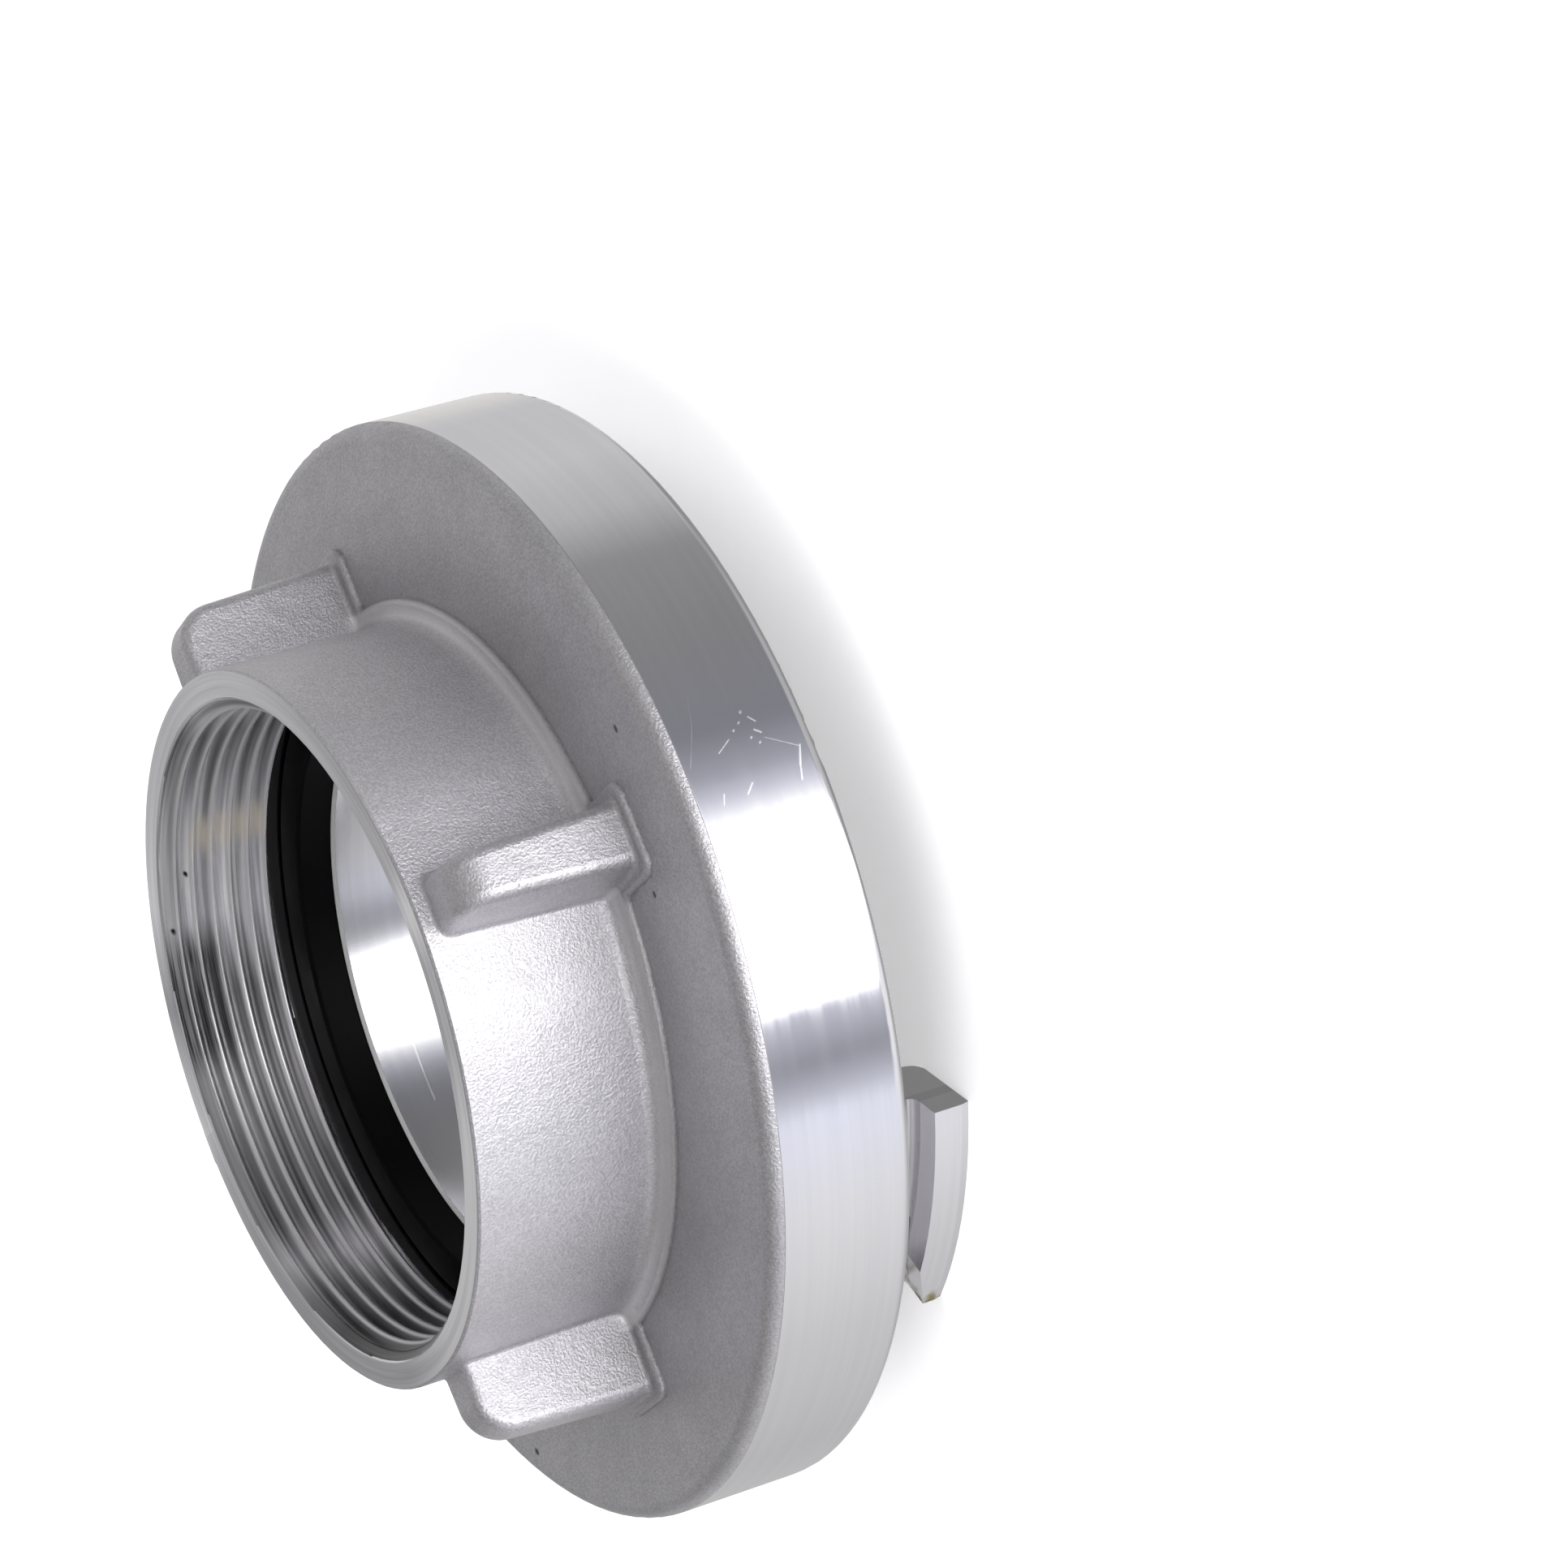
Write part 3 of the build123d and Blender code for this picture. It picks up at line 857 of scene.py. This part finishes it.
# %% Scratches and dots on the rim, and one long scratch in the bore
scratch_colour = (0.94, 0.94, 0.95, 1)
rim_marks = [
    ((8.4, 23.4), (5.0, 24.5), 0.14, 0.275), ((5.0, 24.5), (1.2, 26.5), 0.14, 0.275),
    ((5.3, 18.6), (5.2, 18.7), 0.5, 0.495), ((4.6, 18.1), (4.0, 17.5), 0.3, 0.55),
    ((4.3, 19.3), (4.2, 19.4), 0.4, 0.495), ((3.7, 20.2), (3.6, 20.3), 0.35, 0.495),
    ((2.9, 21.2), (1.9, 22.8), 0.24, 0.495), ((3.2, 18.0), (2.8, 17.4), 0.34, 0.55),
    ((2.6, 18.6), (2.5, 18.7), 0.35, 0.495), ((1.9, 17.9), (1.8, 18.0), 0.35, 0.495),
    ((2.2, 17.2), (0.5, 13.9), 0.16, 0.385), ((0.6, 13.8), (-1.3, 14.6), 0.34, 0.495),
    ((-1.3, 14.6), (-2.7, 15.0), 0.26, 0.44), ((-1.7, 20.5), (-2.6, 21.4), 0.24, 0.44),
    ((-2.0, 24.0), (-3.0, 24.4), 0.2, 0.385),
]
bore_marks = [((173.6, 26.3), (179.9, 26.4), 0.3, 0.44), ((-179.9, 26.4), (-171.2, 26.5), 0.3, 0.44)]
worn = either(tree, marks_on(tree, ring_mm, rim_marks), marks_on(tree, bore_mm, bore_marks))
metal_colour = blend_colour(tree, worn, metal_colour, scratch_colour)
feed(tree, shader.inputs["Base Color"], metal_colour)
shader.inputs["Metallic"].default_value = 1.0
print("scratches and dots", len(rim_marks) + len(bore_marks))

# %% [markdown]
# ### Roughness and relief
#
# Roughness tells blasted skin from turned metal more than colour does: the skin scatters the room into an
# even grey, while the rim mirrors it. The faces and the bore are duller than the rim. Relief could be
# real geometry, but the grain is far finer than any mesh, so it is bump in the shader.

# %% Roughness of each finish
cast_rough, cast_rough_light = 0.52, 0.51
turned_rough, turned_rough_light = 0.13, 0.08
face_rough = 0.24
bore_rough = 0.22
edge_rough = 0.5
scratch_rough = 0.55
cast_roughness = blend_value(tree, mottle, cast_rough, cast_rough_light)
turned_roughness = blend_value(tree, line_tone, turned_rough, turned_rough_light)
on_face = either(tree, soft_step(tree, height, mouth_mm - 0.9, mouth_mm - 0.7),
                 soft_step(tree, height, face_mm - 0.1, face_mm + 0.1, 1.0, 0.0))
turned_roughness = blend_value(tree, on_face, turned_roughness, face_rough)
turned_roughness = blend_value(tree, in_bore, turned_roughness, bore_rough)
metal_roughness = blend_value(tree, cast, turned_roughness, cast_roughness)
metal_roughness = blend_value(tree, either(tree, end_face, painted_seat_highlight, stain), metal_roughness, edge_rough)
feed(tree, shader.inputs["Roughness"], blend_value(tree, worn, metal_roughness, scratch_rough))
print("roughness of the rim", turned_rough, "of the skin", cast_rough)

# %% Relief of the two finishes
relief_height = 0.1 * mm
pit_share = 3.0
waves_share, lug_waves_share = 0.8, 1.2
rim_lines, face_lines = 0.027, 0.2
on_lugs = both(tree, soft_step(tree, radius, socket_mm + 0.7, socket_mm + 2.1),
               soft_step(tree, height, back_mm + 2.0, back_mm + 4.0))
waves = sum_of(tree, "MULTIPLY", skin["Waves"], blend_value(tree, on_lugs, waves_share, lug_waves_share))
cast_relief = sum_of(tree, "SUBTRACT", skin["Relief"], sum_of(tree, "MULTIPLY", skin["Pits"], pit_share))
cast_relief = sum_of(tree, "ADD", cast_relief, waves)
turned_relief = sum_of(tree, "MULTIPLY", lines["Groove"], blend_value(tree, on_face, rim_lines, face_lines))


def raise_relief(tree, shader, relief, distance):
    """Bump of this height in metres, as deep as the relief says."""
    bump = put_node(tree, "Bump")
    bump.inputs["Strength"].default_value = 1.0
    bump.inputs["Distance"].default_value = distance
    feed(tree, bump.inputs["Height"], relief)
    feed(tree, shader.inputs["Normal"], bump.outputs[0])


raise_relief(tree, shader, blend_value(tree, cast, turned_relief, cast_relief), relief_height)
body.data.materials.clear()
body.data.materials.append(aluminium)
print("body finish", aluminium.name, "nodes", len(tree.nodes))

# %% [markdown]
# ## The cut thread
#
# The crests of a thread rub against every pipe that is screwed in and stay bright, while grease and dirt
# stain the flanks. The tone of the flanks follows the angle around the axis in long stretches, partly
# stains and partly painted light and shade, lighter on one side of the bore and darker on the other.

# %% Flanks, stains with painted light and shade, and crests
flank_dark = (0.37, 0.37, 0.38, 1)
flank_light = (0.86, 0.85, 0.88, 1)
crest_colour = (0.85, 0.84, 0.86, 1)
crest_mm = (thread_radius - thread_depth) / mm
thread_stains_and_light = [
    (-180, 0.8), (-170, 0.72), (-160, 0.68), (-150, 1.3), (-140, 0.65), (-128, 0.32), (-110, 0.4),
    (-60, 0.65), (60, 0.65), (88, 1.25), (98, 0.72), (110, 0.95), (120, 1.25), (130, 1.5), (142, 1.5),
    (149, 1.1), (157, 0.62), (165, 0.68), (174, 0.78), (180, 0.8),
]
thread_metal, tree, shader = new_material("cut_thread")
place = use_group(tree, lathe_place)
radius, height, angle = place["Radius"], place["Height"], place["Angle"]
lines = use_group(
    tree, tool_lines, Radius=radius, Height=height, Around=place["Around"], Lines=6.0, Streak=5.0
)
crest = soft_step(tree, radius, crest_mm + 0.05, crest_mm + 0.5, 1.0, 0.0)
flank_colour = blend_colour(tree, soft_step(tree, lines["Tone"], 0.3, 0.7), flank_dark, flank_light)
# Stains with painted light and shade: the flanks are made lighter or darker at each angle around the axis.
flank_colour = vector_sum(tree, "SCALE", flank_colour, tone_around(tree, angle, thread_stains_and_light))
thread_colour = blend_colour(tree, crest, flank_colour, crest_colour)
print("stops around the thread", len(thread_stains_and_light))

# %% A dark patch near the mouth, a painted warm highlight deeper in, and two chips
dark_patch_colour = (0.04, 0.04, 0.045, 1)
painted_glint_colour = (1.0, 0.94, 0.84, 1)
chip_colour = (0.01, 0.01, 0.01, 1)
painted_glint_share = 0.6
chips = [((132.8, 48.2), (133.0, 48.1), 1.1, 0.99), ((143.2, 50.4), (143.6, 50.3), 1.0, 0.99)]
# A dark patch on the flanks near the mouth.
dark_patch = both(tree, between(tree, angle, 146.0, 168.0, 8.0),
             soft_step(tree, height, mouth_mm - 8.5, mouth_mm - 3.5),
             soft_step(tree, lines["Groove"], 0.35, 0.6, 0.9, 0.2))
# Painted highlight: a warm glint on the thread deeper in.
painted_glint = both(tree, between(tree, angle, 122.0, 129.0, 5.0),
             soft_step(tree, height, mouth_mm - 4.0, mouth_mm - 2.0, painted_glint_share, 0.0))
thread_colour = blend_colour(tree, dark_patch, thread_colour, dark_patch_colour)
thread_colour = blend_colour(tree, painted_glint, thread_colour, painted_glint_colour)
thread_colour = blend_colour(tree, marks_on(tree, crest_mm + 0.8, chips), thread_colour, chip_colour)
feed(tree, shader.inputs["Base Color"], thread_colour)
shader.inputs["Metallic"].default_value = 1.0
print("chips", len(chips))

# %% Roughness and relief of the thread
flank_rough, crest_rough = 0.46, 0.42
line_height = 0.004 * mm
feed(tree, shader.inputs["Roughness"], blend_value(tree, crest, flank_rough, crest_rough))
raise_relief(tree, shader, lines["Groove"], line_height)
thread.data.materials.append(thread_metal)
print("thread finish", thread_metal.name, "nodes", len(tree.nodes))

# %% [markdown]
# ## Black rubber
#
# The face seal and the thread gasket are moulded from the same hard rubber. It is nearly black, with a
# dull sheen and a skin that is not quite even. A new texture could be made for it, but the grain of the
# blasted skin serves again, at its own depth and with its pits set to nothing.

# %% Finish of the rubber
rubber_dark = (0.0012, 0.0012, 0.0016, 1)
rubber_light = (0.0026, 0.0026, 0.0032, 1)
rubber_rough, rubber_rough_light = 0.42, 0.5
rubber_sheen = 0.06
rubber_height = 0.008 * mm
rubber, tree, shader = new_material("black_rubber")
skin = use_group(tree, blasted_skin, Grain=0.3, Pit_Spacing=4.0, Pit_Size=0.0)
mottle = soft_step(tree, skin["Mottle"], 0.3, 0.7)
feed(tree, shader.inputs["Base Color"], blend_colour(tree, mottle, rubber_dark, rubber_light))
feed(tree, shader.inputs["Roughness"], blend_value(tree, mottle, rubber_rough, rubber_rough_light))
shader.inputs["Specular IOR Level"].default_value = rubber_sheen
raise_relief(tree, shader, skin["Relief"], rubber_height)
rubber_rings = ("face_seal", "thread_gasket")
for name in rubber_rings:
    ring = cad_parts[name]
    ring.data.materials.clear()
    ring.data.materials.append(rubber)
print("rubber on", *rubber_rings)

# %% [markdown]
# ## Colours as written
#
# The Standard view shows each colour as it is written.

# %% Show each colour as it is written
bpy.context.scene.view_settings.view_transform = "Standard"
